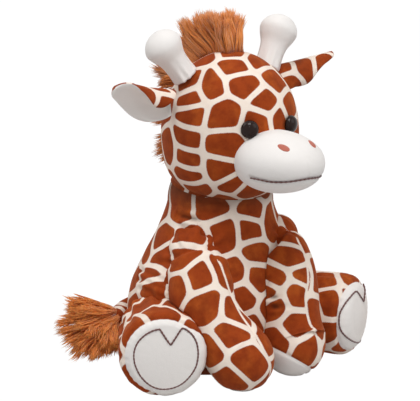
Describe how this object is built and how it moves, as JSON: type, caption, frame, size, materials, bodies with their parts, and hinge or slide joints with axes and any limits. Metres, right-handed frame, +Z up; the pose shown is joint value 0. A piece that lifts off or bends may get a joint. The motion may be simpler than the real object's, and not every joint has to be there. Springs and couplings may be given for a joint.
{
  "type": "plush giraffe",
  "caption": "Seated soft toy giraffe with a large head, white muzzle and feet, ossicones, leaf ears, tufts of long fur and soft limbs that swing at round roots.",
  "frame": {"origin": "on the floor under the middle of the flat seat", "axes": "+Z up through the head, the face towards -Y, the giraffe's left side towards +X"},
  "size_m": [0.2084, 0.1709, 0.2445],
  "materials": {
    "printed_plush": "short pile velour printed with rust patches and cream lines",
    "white_plush": "white short pile velour",
    "long_fur": "long golden brown pile",
    "fibre": "white polyester fibre filling",
    "pellet_cloth": "plain woven bag",
    "black_plastic": "glossy moulded, near black",
    "pale_plastic": "moulded, natural"
  },
  "bodies": {
    "torso": {"torso_skin": "printed_plush", "torso_stuffing": "fibre", "pellet_bag": "pellet_cloth"},
    "neck": {"neck_stuffing": "fibre"},
    "head": {"head_skin": "printed_plush", "head_stuffing": "fibre", "muzzle_skin": "white_plush", "forelock": "long_fur", "mane": "long_fur", "ossicone_skin_left": "white_plush", "ossicone_stuffing_left": "fibre", "ossicone_skin_right": "white_plush", "ossicone_stuffing_right": "fibre", "eye_left": "black_plastic", "eye_washer_left": "pale_plastic", "eye_right": "black_plastic", "eye_washer_right": "pale_plastic"},
    "ear_left": {"ear_back_left": "printed_plush", "ear_lining_left": "white_plush"},
    "ear_right": {"ear_back_right": "printed_plush", "ear_lining_right": "white_plush"},
    "arm_left": {"arm_skin_left": "printed_plush", "arm_stuffing_left": "fibre", "paw_sole_left": "white_plush"},
    "arm_right": {"arm_skin_right": "printed_plush", "arm_stuffing_right": "fibre", "paw_sole_right": "white_plush"},
    "leg_left": {"leg_skin_left": "printed_plush", "leg_stuffing_left": "fibre", "foot_sole_left": "white_plush"},
    "leg_right": {"leg_skin_right": "printed_plush", "leg_stuffing_right": "fibre", "foot_sole_right": "white_plush"},
    "tail": {"tail_stem": "printed_plush", "tail_tuft": "long_fur"}
  },
  "joints": [
    {"name": "neck_turn", "type": "hinge", "parent": "torso", "child": "neck", "pos_m": [0, -0.005, 0.1135], "axis": [0, 0, 1], "range_deg": [-20, 20], "stiffness_Nm_per_rad": 0.4},
    {"name": "head_nod", "type": "hinge", "parent": "neck", "child": "head", "pos_m": [0, -0.005, 0.1135], "axis": [1, 0, 0], "range_deg": [-10, 10], "stiffness_Nm_per_rad": 0.6},
    {"name": "ear_left_flop", "type": "hinge", "parent": "head", "child": "ear_left", "pos_m": [0.04248, -0.01119, 0.19304], "axis": [0, -1, 0], "range_deg": [-12, 12], "stiffness_Nm_per_rad": 0.02},
    {"name": "ear_right_flop", "type": "hinge", "parent": "head", "child": "ear_right", "pos_m": [-0.04248, -0.01119, 0.19304], "axis": [0, 1, 0], "range_deg": [-12, 12], "stiffness_Nm_per_rad": 0.02},
    {"name": "shoulder_left", "type": "hinge", "parent": "torso", "child": "arm_left", "pos_m": [0.03376, -0.02324, 0.085], "axis": [-1, 0, 0], "range_deg": [0, 45], "stiffness_Nm_per_rad": 0.08},
    {"name": "shoulder_right", "type": "hinge", "parent": "torso", "child": "arm_right", "pos_m": [-0.03376, -0.02324, 0.085], "axis": [-1, 0, 0], "range_deg": [0, 45], "stiffness_Nm_per_rad": 0.08},
    {"name": "hip_left", "type": "hinge", "parent": "torso", "child": "leg_left", "pos_m": [0.05521, -0.01199, 0.0285], "axis": [0, 0, 1], "range_deg": [0, 20], "stiffness_Nm_per_rad": 0.1},
    {"name": "hip_right", "type": "hinge", "parent": "torso", "child": "leg_right", "pos_m": [-0.05521, -0.01199, 0.0285], "axis": [0, 0, -1], "range_deg": [0, 20], "stiffness_Nm_per_rad": 0.1},
    {"name": "tail_wag", "type": "hinge", "parent": "torso", "child": "tail", "pos_m": [0, 0.0517, 0.031], "axis": [0, 0, -1], "range_deg": [0, 25], "stiffness_Nm_per_rad": 0.03}
  ]
}
